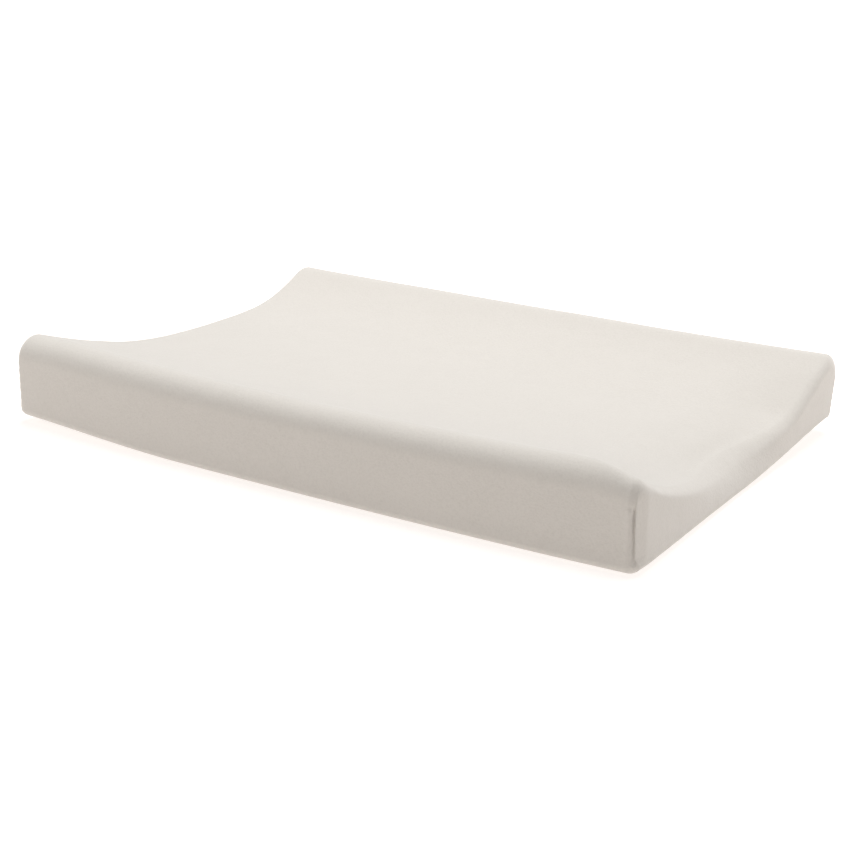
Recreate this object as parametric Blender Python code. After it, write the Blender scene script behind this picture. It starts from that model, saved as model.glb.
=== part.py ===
"""Contoured changing pad with a fitted terry cover that lifts off.

Metres, +Z up. The pad rests on the plane z = 0 and is centred on the origin, with its
long sides along X. Each layer is the same rounded shape, inset from the cover's outside.
"""

import math

import bmesh
import bpy
from mathutils import Vector

# Driving dimensions, measured over the cover
LENGTH = 0.680
WIDTH = 0.528
HEIGHT = 0.088
DIP = 0.038

# Shape of the raised sides and of the rounded edges, on the cover's outside
RIM_RADIUS = 0.018
RIM_SLOPE = math.radians(23)
COVER_EDGE_RADIUS = 0.015
PAD_EDGE_RADIUS = 0.021
HOLLOW_STEPS = 7
RIM_STEPS = 5
CORNER_STEPS = 6

# Layers
GAP = 0.0003
SEAM = 0.0016
COVER_THICK = 0.0035
COVER_EASE = 0.0004
LINER_THICK = 0.0012
LINER_INSET = COVER_THICK + COVER_EASE
FOAM_INSET = LINER_INSET + LINER_THICK + GAP
SIDE_SEAM_Z = HEIGHT - RIM_RADIUS

# The margin of the cover that turns under the pad, with its elastic hem
SKIRT_Z = 0.0010
SKIRT_THICK = 0.0018
SKIRT_EDGE_INSET = 0.0015
SKIRT_REACH = 0.050
SKIRT_CORNER_RADIUS = 0.060
FOLD_DEPTH = 0.0135
FOLD_THICK = 0.0016
ELASTIC_WIDTH = 0.0100
ELASTIC_THICK = 0.0012
THREAD_RADIUS = 0.00025
COVER_FOOT_Z = SKIRT_Z + SKIRT_THICK + GAP
FOLD_Z = SKIRT_Z + SKIRT_THICK + ELASTIC_THICK + 2 * GAP

# The underside of the pad: flat in the middle, raised round the edge to make room for the hem
HEM_ROOM = 0.005
BAND_Z = FOLD_Z + FOLD_THICK + 2 * GAP
RAMP_INSET = SKIRT_REACH + HEM_ROOM
RAMP_WIDTH = 0.007

# The zip in the back of the liner
ZIP_Z = 0.038
ZIP_FACE_Y = WIDTH / 2 - LINER_INSET
TAPE_LENGTH = 0.480
TAPE_WIDTH = 0.012
TAPE_THICK = 0.0006
TAPE_DEPTH = LINER_THICK + GAP
COIL_LENGTH = 0.452
COIL_WIDTH = 0.0024
COIL_THICK = 0.0014
COIL_SPACING = 0.0012
COIL_DEPTH = TAPE_DEPTH + TAPE_THICK + GAP
SLOT_LENGTH = 0.472
SLOT_HEIGHT = 0.011
GROOVE_MARGIN = 0.005
SLIDER_LENGTH = 0.010
SLIDER_HEIGHT = 0.008
SLIDER_PLATE = 0.0009
SLIDER_START = 0.001
STOP_LENGTH = 0.003

# Edges that turn more than this are shaded sharp
SHARP_ANGLE = math.radians(40)
# A cutter reaches this far past what it cuts
CUTTER_REACH = 0.010


def clear_scene():
    for old in list(bpy.data.objects):
        bpy.data.objects.remove(old, do_unlink=True)


def make_material(name, colour, roughness, metallic=0.0):
    material = bpy.data.materials.new(name)
    material.use_nodes = True
    shader = material.node_tree.nodes["Principled BSDF"]
    shader.inputs["Base Color"].default_value = (*colour, 1.0)
    shader.inputs["Roughness"].default_value = roughness
    shader.inputs["Metallic"].default_value = metallic
    return material


def make_object(name, bm, material, smooth=True):
    """Turn a bmesh into a named object of one material."""
    mesh = bpy.data.meshes.new(name)
    bm.to_mesh(mesh)
    bm.free()
    if smooth:
        mesh.shade_smooth()
        mesh.set_sharp_from_angle(angle=SHARP_ANGLE)
    mesh.materials.append(material)
    made = bpy.data.objects.new(name, mesh)
    bpy.context.scene.collection.objects.link(made)
    return made


def add_thickness(made, thickness):
    """Give an open surface its thickness, on the side away from its normals."""
    solidify = made.modifiers.new("thickness", "SOLIDIFY")
    solidify.thickness = thickness
    solidify.offset = -1
    solidify.use_even_offset = True


def cut(made, cutter):
    """Subtract a cutter, which stays in the scene as a hidden guide."""
    cutter.hide_render = True
    cutter.display_type = "WIRE"
    boolean = made.modifiers.new("cut", "BOOLEAN")
    boolean.operation = "DIFFERENCE"
    boolean.solver = "EXACT"
    boolean.object = cutter


def section(inset):
    """Points (y, z) over the top from the -Y side to the +Y side, inset along its normals.

    The hollow is a power curve that meets the round rims without a kink.
    """
    start_y = WIDTH / 2 - RIM_RADIUS - RIM_RADIUS * math.sin(RIM_SLOPE)
    start_z = SIDE_SEAM_Z + RIM_RADIUS * math.cos(RIM_SLOPE)
    depth = start_z - (HEIGHT - DIP)
    power = math.tan(RIM_SLOPE) * start_y / depth
    half = []
    for step in range(HOLLOW_STEPS + 1):
        share = step / HOLLOW_STEPS
        tilt = math.atan(math.tan(RIM_SLOPE) * share ** (power - 1))
        y = start_y * share + inset * math.sin(tilt)
        z = start_z - depth * (1 - share**power) - inset * math.cos(tilt)
        half.append((y, z))
    for step in range(1, RIM_STEPS + 1):
        angle = (math.pi / 2 + RIM_SLOPE) * (1 - step / RIM_STEPS)
        y = WIDTH / 2 - RIM_RADIUS + (RIM_RADIUS - inset) * math.cos(angle)
        z = SIDE_SEAM_Z + (RIM_RADIUS - inset) * math.sin(angle)
        half.append((y, z))
    return [(-y, z) for y, z in reversed(half[1:])] + half


def stations(inset, edge_radius):
    """(x, half width, drop of the top) along the length, closer together at the rounded ends.

    One radius rounds both the four upright corners and the top edge of each end.
    """
    radius = edge_radius - inset
    end = []
    for step in range(CORNER_STEPS + 1):
        angle = math.pi / 2 * step / CORNER_STEPS
        x = LENGTH / 2 - edge_radius + radius * math.sin(angle)
        half_width = WIDTH / 2 - edge_radius + radius * math.cos(angle)
        end.append((x, half_width, radius - radius * math.cos(angle)))
    return [(-x, half_width, drop) for x, half_width, drop in reversed(end)] + end


def top_rows(inset, edge_radius):
    """Rows of points over the top, one row at each station from -X to +X."""
    half = WIDTH / 2 - inset
    rows = []
    for x, half_width, drop in stations(inset, edge_radius):
        rows.append([Vector((x, y * half_width / half, z - drop)) for y, z in section(inset)])
    return rows


def end_outline(inset, seam):
    """Points over the top edge of the pad's +X end face, a seam's width inside the top."""
    squeeze = (WIDTH / 2 - PAD_EDGE_RADIUS) / (WIDTH / 2 - inset)
    x = LENGTH / 2 - inset
    drop = PAD_EDGE_RADIUS - inset
    return [Vector((x, y * squeeze, z - drop)) for y, z in section(inset + seam)]


def mirrored_x(points):
    return [Vector((-p.x, p.y, p.z)) for p in points]


def ring(inset, z, corner_radius):
    """A closed rounded rectangle of points, inset from the cover's outline."""
    points = []
    for corner, (sign_x, sign_y) in enumerate(((1, 1), (-1, 1), (-1, -1), (1, -1))):
        centre_x = sign_x * (LENGTH / 2 - inset - corner_radius)
        centre_y = sign_y * (WIDTH / 2 - inset - corner_radius)
        for step in range(CORNER_STEPS + 1):
            angle = math.pi / 2 * (corner + step / CORNER_STEPS)
            x = centre_x + corner_radius * math.cos(angle)
            y = centre_y + corner_radius * math.sin(angle)
            points.append(Vector((x, y, z)))
    return points


def skin(rows, closed_rows=False, closed_section=False):
    """Join rows of points with four-sided faces."""
    bm = bmesh.new()
    verts = [[bm.verts.new(point) for point in row] for row in rows]
    pairs = list(zip(verts, verts[1:]))
    if closed_section:
        pairs.append((verts[-1], verts[0]))
    for first, second in pairs:
        count = len(first) if closed_rows else len(first) - 1
        for index in range(count):
            after = (index + 1) % len(first)
            bm.faces.new((first[index], second[index], second[after], first[after]))
    return bm


def skirted_top(inset, edge_radius, foot_z):
    """The top surface with its four sides, open underneath."""
    bm = skin(top_rows(inset, edge_radius))
    edges = [edge for edge in bm.edges if edge.is_boundary]
    extruded = bmesh.ops.extrude_edge_only(bm, edges=edges)
    for item in extruded["geom"]:
        if isinstance(item, bmesh.types.BMVert):
            item.co.z = foot_z
    bmesh.ops.recalc_face_normals(bm, faces=bm.faces)
    return bm


def box(low, high):
    bm = bmesh.new()
    bmesh.ops.create_cube(bm, size=1.0)
    size = Vector(high) - Vector(low)
    middle = (Vector(high) + Vector(low)) / 2
    bmesh.ops.scale(bm, vec=size, verts=bm.verts)
    bmesh.ops.translate(bm, vec=middle, verts=bm.verts)
    return bm


def lofted_ring(name, corners, material):
    """A closed band with the given (inset, z, corner radius) corners round its section."""
    bm = skin([ring(*corner) for corner in corners], closed_rows=True, closed_section=True)
    bmesh.ops.recalc_face_normals(bm, faces=bm.faces)
    return make_object(name, bm, material)


def thread_loop(name, points, material):
    """A closed loop of sewing thread through the points."""
    curve = bpy.data.curves.new(name, "CURVE")
    curve.dimensions = "3D"
    curve.bevel_depth = THREAD_RADIUS
    curve.bevel_resolution = 0
    curve.resolution_u = 1
    curve.render_resolution_u = 0
    spline = curve.splines.new("POLY")
    spline.points.add(len(points) - 1)
    for target, point in zip(spline.points, points):
        target.co = (*point, 1.0)
    spline.use_cyclic_u = True
    curve.materials.append(material)
    made = bpy.data.objects.new(name, curve)
    bpy.context.scene.collection.objects.link(made)
    return made


def make_terry_cover():
    material = make_material("terry", (0.70, 0.64, 0.57), 0.95)
    bm = skirted_top(0.0, COVER_EDGE_RADIUS, COVER_FOOT_Z)
    made = make_object("terry_cover", bm, material)
    add_thickness(made, COVER_THICK)


def make_turned_under_skirt():
    """The margin under the pad, whose inner edge folds back over the elastic."""
    material = make_material("terry_skirt", (0.68, 0.62, 0.55), 0.95)
    outer_radius = COVER_EDGE_RADIUS - SKIRT_EDGE_INSET
    fold_inset = SKIRT_REACH - FOLD_DEPTH
    fold_radius = SKIRT_CORNER_RADIUS + FOLD_DEPTH
    inside_inset = SKIRT_REACH - FOLD_THICK
    inside_radius = SKIRT_CORNER_RADIUS + FOLD_THICK
    skirt_top = SKIRT_Z + SKIRT_THICK
    fold_top = FOLD_Z + FOLD_THICK
    corners = [
        (SKIRT_EDGE_INSET, SKIRT_Z, outer_radius),
        (SKIRT_REACH, SKIRT_Z, SKIRT_CORNER_RADIUS),
        (SKIRT_REACH, fold_top, SKIRT_CORNER_RADIUS),
        (fold_inset, fold_top, fold_radius),
        (fold_inset, FOLD_Z, fold_radius),
        (inside_inset, FOLD_Z, inside_radius),
        (inside_inset, skirt_top, inside_radius),
        (SKIRT_EDGE_INSET, skirt_top, outer_radius),
    ]
    lofted_ring("turned_under_skirt", corners, material)


def make_hem_elastic():
    material = make_material("elastic", (0.80, 0.79, 0.76), 0.8)
    inner = SKIRT_REACH - FOLD_THICK - GAP
    outer = inner - ELASTIC_WIDTH
    low = SKIRT_Z + SKIRT_THICK + GAP
    high = low + ELASTIC_THICK
    inner_radius = SKIRT_CORNER_RADIUS + SKIRT_REACH - inner
    outer_radius = SKIRT_CORNER_RADIUS + SKIRT_REACH - outer
    corners = [
        (outer, low, outer_radius),
        (inner, low, inner_radius),
        (inner, high, inner_radius),
        (outer, high, outer_radius),
    ]
    lofted_ring("hem_elastic", corners, material)


def make_hem_stitching():
    material = make_material("hem_thread", (0.72, 0.67, 0.60), 0.8)
    inset = SKIRT_REACH - FOLD_DEPTH + 2 * THREAD_RADIUS
    middle_z = (SKIRT_Z + SKIRT_THICK + FOLD_Z) / 2
    radius = SKIRT_CORNER_RADIUS + SKIRT_REACH - inset
    thread_loop("hem_stitching", ring(inset, middle_z, radius), material)


def make_corner_seams():
    """The overlocked seam allowance that stands inside each corner of the cover."""
    material = make_material("overlock_thread", (0.72, 0.67, 0.60), 0.85)
    width = 0.0017
    thick = 0.0012
    low_z = 0.012
    high_z = 0.054
    middle = COVER_EDGE_RADIUS - COVER_THICK - 2 * GAP - width / 2
    for ends, sign_x in (("left", -1), ("right", 1)):
        for side, sign_y in (("front", -1), ("back", 1)):
            bm = box((-width / 2, -thick / 2, low_z), (width / 2, thick / 2, high_z))
            made = make_object(f"corner_seam_{side}_{ends}", bm, material.copy(), smooth=False)
            diagonal = math.atan2(sign_y, sign_x)
            made.rotation_euler.z = diagonal
            made.location.x = sign_x * (LENGTH / 2 - COVER_EDGE_RADIUS) + middle * math.cos(diagonal)
            made.location.y = sign_y * (WIDTH / 2 - COVER_EDGE_RADIUS) + middle * math.sin(diagonal)


def make_care_label():
    """A blank woven label, sewn in at the foot of the front side and lying on the skirt."""
    material = make_material("label", (0.92, 0.92, 0.90), 0.7)
    length = 0.036
    reach = 0.022
    thick = 0.0006
    centre_x = -0.180
    edge_y = -WIDTH / 2 + COVER_THICK + GAP
    low = (centre_x - length / 2, edge_y, COVER_FOOT_Z)
    high = (centre_x + length / 2, edge_y + reach, COVER_FOOT_Z + thick)
    make_object("care_label", box(low, high), material, smooth=False)


def make_hem_recess():
    """The cutter that raises the foam's underside round the edge."""
    low_z = -CUTTER_REACH
    foam_band_z = BAND_Z + LINER_THICK + GAP
    foam_middle_z = LINER_THICK + GAP
    outside = -CUTTER_REACH
    outside_radius = COVER_EDGE_RADIUS + CUTTER_REACH
    ramp_top = RAMP_INSET + LINER_THICK
    ramp_foot = ramp_top + RAMP_WIDTH
    corners = [
        (outside, low_z, outside_radius),
        (ramp_foot, low_z, SKIRT_CORNER_RADIUS),
        (ramp_foot, foam_middle_z, SKIRT_CORNER_RADIUS),
        (ramp_top, foam_band_z, SKIRT_CORNER_RADIUS),
        (outside, foam_band_z, outside_radius),
    ]
    return lofted_ring("hem_recess_cutter", corners, make_material("recess_cutter", (1, 0, 0), 1.0))


def make_foam_core():
    material = make_material("foam", (0.86, 0.84, 0.74), 1.0)
    bm = skirted_top(FOAM_INSET, PAD_EDGE_RADIUS, LINER_THICK + GAP)
    bmesh.ops.holes_fill(bm, edges=[edge for edge in bm.edges if edge.is_boundary])
    bmesh.ops.recalc_face_normals(bm, faces=bm.faces)
    made = make_object("foam_core", bm, material)
    cut(made, make_hem_recess())
    floor_y = ZIP_FACE_Y - COIL_DEPTH - COIL_THICK - SLIDER_PLATE - 2 * GAP
    half_height = TAPE_WIDTH + GROOVE_MARGIN
    half_length = TAPE_LENGTH / 2 + GROOVE_MARGIN
    low = (-half_length, floor_y, ZIP_Z - half_height)
    high = (half_length, WIDTH / 2 + CUTTER_REACH, ZIP_Z + half_height)
    cutter_material = make_material("groove_cutter", (1, 0, 0), 1.0)
    cut(made, make_object("zip_groove_cutter", box(low, high), cutter_material))


def make_liner_panel(name, rows, material):
    made = make_object(name, skin(rows), material.copy())
    add_thickness(made, LINER_THICK)
    return made


def dropped(points, amount):
    return [Vector((p.x, p.y, p.z - amount)) for p in points]


def lowered(points, z):
    return [Vector((p.x, p.y, z)) for p in points]


def make_liner():
    """The wipe-clean liner: top, base, two long sides and two shaped ends."""
    material = make_material("liner", (0.93, 0.93, 0.92), 0.45)
    wall_foot_z = BAND_Z + LINER_THICK + SEAM
    rows = top_rows(LINER_INSET, PAD_EDGE_RADIUS)
    make_liner_panel("liner_top_panel", rows, material)

    front = dropped([row[0] for row in rows], SEAM)
    make_liner_panel("liner_front_panel", [front, lowered(front, wall_foot_z)], material)
    back = dropped([row[-1] for row in rows], SEAM)
    back_panel = make_liner_panel("liner_back_panel", [lowered(back, wall_foot_z), back], material)
    slot_low = (-SLOT_LENGTH / 2, ZIP_FACE_Y - CUTTER_REACH, ZIP_Z - SLOT_HEIGHT / 2)
    slot_high = (SLOT_LENGTH / 2, ZIP_FACE_Y + CUTTER_REACH, ZIP_Z + SLOT_HEIGHT / 2)
    slot_material = make_material("slot_cutter", (1, 0, 0), 1.0)
    cut(back_panel, make_object("zip_slot_cutter", box(slot_low, slot_high), slot_material))

    right = end_outline(LINER_INSET, SEAM)
    make_liner_panel("liner_right_end_panel", [right, lowered(right, wall_foot_z)], material)
    left = mirrored_x(right)
    make_liner_panel("liner_left_end_panel", [lowered(left, wall_foot_z), left], material)

    edge_radius = PAD_EDGE_RADIUS - LINER_INSET
    base_rings = [
        ring(LINER_INSET, BAND_Z, edge_radius),
        ring(RAMP_INSET, BAND_Z, SKIRT_CORNER_RADIUS),
        ring(RAMP_INSET + RAMP_WIDTH, 0.0, SKIRT_CORNER_RADIUS),
    ]
    bm = skin(base_rings, closed_rows=True)
    bm.verts.ensure_lookup_table()
    middle = bm.verts[-len(base_rings[-1]) :]
    bm.faces.new(middle[::-1])
    base = make_object("liner_base_panel", bm, material.copy())
    add_thickness(base, LINER_THICK)


def make_liner_threads():
    """The sewing threads in the seams between the liner's panels.

    The upper one lies a little below the middle of its seam, clear of the curved top panel.
    """
    material = make_material("liner_thread", (0.85, 0.85, 0.84), 0.7)
    inset = LINER_INSET + LINER_THICK / 2
    below_top = 0.6 * SEAM
    rows = top_rows(inset, PAD_EDGE_RADIUS)
    right = end_outline(inset, below_top)
    left = mirrored_x(right)
    front = dropped([row[0] for row in rows], below_top)
    back = dropped([row[-1] for row in rows], below_top)
    top_seam = front + right + back[::-1] + left[::-1]
    thread_loop("liner_top_seam_thread", top_seam, material.copy())
    base_seam = ring(inset, BAND_Z + LINER_THICK + SEAM / 2, PAD_EDGE_RADIUS - inset)
    thread_loop("liner_base_seam_thread", base_seam, material.copy())


def zip_strip(name, layer, z_range, length, material):
    """A straight strip of the zip, behind the liner's back face. A layer is (depth, thickness)."""
    depth, thick = layer
    low = (-length / 2, ZIP_FACE_Y - depth - thick, min(z_range))
    high = (length / 2, ZIP_FACE_Y - depth, max(z_range))
    return make_object(name, box(low, high), material, smooth=False)


def clamp(name, start_x, length, material):
    """A body in two plates joined by a thin web, which runs over both rows of teeth."""
    half_web = COIL_SPACING / 2 - GAP
    half_height = SLIDER_HEIGHT / 2
    lip_z = COIL_SPACING / 2 + COIL_WIDTH + GAP
    front_plate = GAP + SLIDER_PLATE
    back_plate = COIL_DEPTH + COIL_THICK + GAP
    back = back_plate + SLIDER_PLATE
    half_section = [
        (GAP, half_height),
        (front_plate, half_height),
        (front_plate, half_web),
        (back_plate, half_web),
        (back_plate, lip_z),
        (COIL_DEPTH, lip_z),
        (COIL_DEPTH, half_height),
        (back, half_height),
    ]
    outline = half_section + [(depth, -z) for depth, z in reversed(half_section)]
    rows = []
    for x in (start_x, start_x + length):
        rows.append([Vector((x, ZIP_FACE_Y - depth, ZIP_Z + z)) for depth, z in outline])
    bm = skin(rows, closed_rows=True)
    bmesh.ops.holes_fill(bm, edges=[edge for edge in bm.edges if edge.is_boundary])
    bmesh.ops.recalc_face_normals(bm, faces=bm.faces)
    return make_object(name, bm, material, smooth=False)


def make_zip():
    """The zip in the back of the liner, closed, with the slider at its -X end."""
    tape_material = make_material("zip_tape", (0.88, 0.88, 0.87), 0.8)
    coil_material = make_material("zip_coil", (0.90, 0.90, 0.89), 0.4)
    metal = make_material("zip_metal", (0.70, 0.70, 0.71), 0.35, 1.0)
    tape_layer = (TAPE_DEPTH, TAPE_THICK)
    coil_layer = (COIL_DEPTH, COIL_THICK)
    stop_start = COIL_LENGTH / 2 + GAP
    for side, sign in (("upper", 1), ("lower", -1)):
        near_z = ZIP_Z + sign * COIL_SPACING / 2
        coil_z = (near_z, near_z + sign * COIL_WIDTH)
        tape_z = (near_z + sign * GAP, near_z + sign * (GAP + TAPE_WIDTH))
        zip_strip(f"zip_tape_{side}", tape_layer, tape_z, TAPE_LENGTH, tape_material.copy())
        zip_strip(f"zip_coil_{side}", coil_layer, coil_z, COIL_LENGTH, coil_material.copy())
        stop = zip_strip(f"zip_top_stop_{side}", coil_layer, coil_z, STOP_LENGTH, metal.copy())
        stop.location.x = -stop_start - STOP_LENGTH / 2
    clamp("zip_end_stop", stop_start, STOP_LENGTH, metal.copy())
    clamp("zip_slider", SLIDER_START - COIL_LENGTH / 2, SLIDER_LENGTH, metal.copy())


def main():
    clear_scene()
    make_foam_core()
    make_liner()
    make_liner_threads()
    make_zip()
    make_terry_cover()
    make_turned_under_skirt()
    make_hem_elastic()
    make_hem_stitching()
    make_corner_seams()
    make_care_label()


main()
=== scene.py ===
"""The looks of a contoured changing pad with a fitted terry cover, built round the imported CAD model.

Metres, +Z up, in the CAD's own frame: the long sides run along X and the pad rests on z = 0.
Soft layers start from one plain shape, a Shell, and shaped() moves them to where a stuffed pad's lie.
"""

import math

import bmesh
import bpy
import numpy as np
from mathutils import Matrix, Vector, noise


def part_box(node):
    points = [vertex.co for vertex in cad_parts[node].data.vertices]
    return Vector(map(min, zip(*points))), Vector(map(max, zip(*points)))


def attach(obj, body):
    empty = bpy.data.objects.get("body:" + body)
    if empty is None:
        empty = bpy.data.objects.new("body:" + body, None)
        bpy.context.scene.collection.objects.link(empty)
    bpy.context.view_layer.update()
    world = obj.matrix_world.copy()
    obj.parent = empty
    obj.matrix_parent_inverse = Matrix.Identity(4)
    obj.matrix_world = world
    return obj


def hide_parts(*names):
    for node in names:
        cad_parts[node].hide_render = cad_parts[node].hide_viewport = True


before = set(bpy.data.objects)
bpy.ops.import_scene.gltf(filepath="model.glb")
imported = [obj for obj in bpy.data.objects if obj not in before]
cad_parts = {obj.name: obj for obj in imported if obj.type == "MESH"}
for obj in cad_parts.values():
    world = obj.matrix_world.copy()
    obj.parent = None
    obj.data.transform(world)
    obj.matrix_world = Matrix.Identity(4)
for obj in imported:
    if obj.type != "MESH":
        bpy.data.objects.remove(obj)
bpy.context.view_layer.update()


def node_box(name):
    """The lowest and highest corners of a CAD node, as arrays."""
    return [np.array(corner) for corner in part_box(name)]


# Sizes read from the CAD model's parts
COVER_LOW, COVER_HIGH = node_box("terry_cover")
LENGTH, WIDTH = (COVER_HIGH - COVER_LOW)[:2]
HALF_X, HALF_Y = LENGTH / 2, WIDTH / 2
HEIGHT = COVER_HIGH[2]
LINER_INSET = HEIGHT - node_box("liner_top_panel")[1][2]
FOAM_INSET = HEIGHT - node_box("foam_core")[1][2]
ZIP_Z = (node_box("zip_tape_lower")[0][2] + node_box("zip_tape_upper")[1][2]) / 2

# The plain shape of the cover's outside
DIP = 0.0391
RIM_RADIUS = 0.0218
RIM_SLOPE = math.radians(23.2)
PLAN_RADIUS = 0.0106
END_RADIUS = 0.0146
FOOT_RADIUS = 0.0088
FOOT_TUCK = 0.0160
FOOT_Z = 0.0006
COVER_THICK = 0.0026
# the underside is flat inside a band that the elastic hem presses up
BAND_Z = 0.0068
RAMP_INSET = 0.055
RAMP_WIDTH = 0.007

# How the stuffed and stretched pad differs from the plain shape
FRONT_BOW = 0.0070
END_NARROW = 0.0028
# towards the left end the hollow is bridged on its front side and steeper on its back side
HOLLOW_BRIDGE = 0.0048
HOLLOW_STEEP = 0.0078
HOLLOW_SIDE = 0.30
HOLLOW_WIDTH = 0.07
# how far a rim sags in the middle, and how suddenly it rises towards the ends
FRONT_SAG = (0.0054, 2.0)
BACK_SAG = (0.0039, 3.2)
# the right end's top edge falls: how far, from which x, and how much later at the front rim
END_FALL = 0.0138
END_FALL_START = 0.250
END_FALL_DELAY = 0.045
FRONT_RIM_Y = (-0.220, -0.250)
# the fall grows from nothing to full at the front, and away at the back, over these y
END_FALL_FRONT = (-0.264, -0.231)
END_FALL_BACK = (0.220, 0.120)
# the same end leans back: how far, from which x, and its middle and width along y
END_LEAN = 0.0200
END_LEAN_START = 0.285
END_LEAN_MIDDLE = -0.01
END_LEAN_WIDTH = 0.085
# how far the tip of the front right corner is pressed down, and how broadly
TIP_FALL = 0.0040
TIP_WIDTH = 0.022
# sign x, sign y, lift of the foot, pull of the foot along x and along y, swell of the end, rise of the rim
CORNERS = {
    "front_left": (-1, -1, 0.0059, -0.0008, 0.0012, 0.0036, -0.0027),
    "front_right": (1, -1, 0.0000, -0.0029, -0.0002, 0.0000, 0.0000),
    "back_right": (1, 1, 0.0150, -0.0031, -0.0005, 0.0049, 0.0000),
    "back_left": (-1, 1, 0.0090, -0.0010, 0.0000, 0.0056, -0.0006),
}

# How finely the layers are meshed
HOLLOW_STEPS = 52
RIM_STEPS = 13
CORNER_STEPS = 26
MIDDLE_STEPS = 190
MIDDLE_CROWDING = 0.62
WALL_STEPS = 18
FOOT_STEPS = 7
TUCK_STEPS = 3
OUTLINE_PER_METRE = 400
WALL_SPACING = 0.003


def smooth_step(low, high, value):
    share = np.clip((value - low) / (high - low), 0.0, 1.0)
    return share * share * (3.0 - 2.0 * share)


def bell(distance, width):
    return np.exp(-((distance / width) ** 2))


def slow_noise(points, size, seed=0.0):
    """Smooth noise from -1 to 1 at each point, with features of about that size."""
    shift = Vector((seed, 2.0 * seed, -seed))
    return np.array([noise.noise(Vector(point) / size + shift) for point in points])


# ---------------- shape of the pad


def section(inset):
    """y and z over the top from the front side to the back one, inset along the normals."""
    start_y = HALF_Y - RIM_RADIUS - RIM_RADIUS * math.sin(RIM_SLOPE)
    start_z = HEIGHT - RIM_RADIUS + RIM_RADIUS * math.cos(RIM_SLOPE)
    depth = start_z - (HEIGHT - DIP)
    power = math.tan(RIM_SLOPE) * start_y / depth
    share = np.linspace(0.0, 1.0, HOLLOW_STEPS + 1)
    tilt = np.arctan(math.tan(RIM_SLOPE) * share ** (power - 1.0))
    hollow_y = start_y * share + inset * np.sin(tilt)
    hollow_z = start_z - depth * (1.0 - share**power) - inset * np.cos(tilt)
    angle = (math.pi / 2 + RIM_SLOPE) * (1.0 - np.linspace(0.0, 1.0, RIM_STEPS + 1)[1:])
    rim_y = HALF_Y - RIM_RADIUS + (RIM_RADIUS - inset) * np.cos(angle)
    rim_z = HEIGHT - RIM_RADIUS + (RIM_RADIUS - inset) * np.sin(angle)
    y = np.concatenate([hollow_y, rim_y])
    z = np.concatenate([hollow_z, rim_z])
    return np.concatenate([-y[:0:-1], y]), np.concatenate([z[:0:-1], z])


def stations(inset, plan_radius):
    """x, half width, drop of the top and outward angle at each station along the length."""
    angle = np.linspace(0.0, math.pi / 2, CORNER_STEPS + 1)
    round_x = HALF_X - plan_radius + (plan_radius - inset) * np.sin(angle)
    round_width = HALF_Y - plan_radius + (plan_radius - inset) * np.cos(angle)
    drop = (END_RADIUS - inset) * (1.0 - np.cos(angle))
    even = np.linspace(-1.0, 1.0, MIDDLE_STEPS + 1)[1:-1]
    crowded = even + MIDDLE_CROWDING * np.sin(math.pi * even) / math.pi
    middle_x = crowded * (HALF_X - plan_radius)
    plain = np.zeros_like(middle_x)
    x = np.concatenate([-round_x[::-1], middle_x, round_x])
    half_width = np.concatenate([round_width[::-1], plain + HALF_Y - inset, round_width])
    drop = np.concatenate([drop[::-1], plain, drop])
    angle = np.concatenate([-angle[::-1], plain, angle])
    return x, half_width, drop, angle


# height of the top's outside over the distance from the middle line, without the rim's outer quarter
TOP_CURVE = [values[HOLLOW_STEPS + RIM_STEPS : -1] for values in section(0.0)]


def even_shares(steps):
    return np.linspace(0.0, 1.0, steps + 1)[1:]


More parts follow.
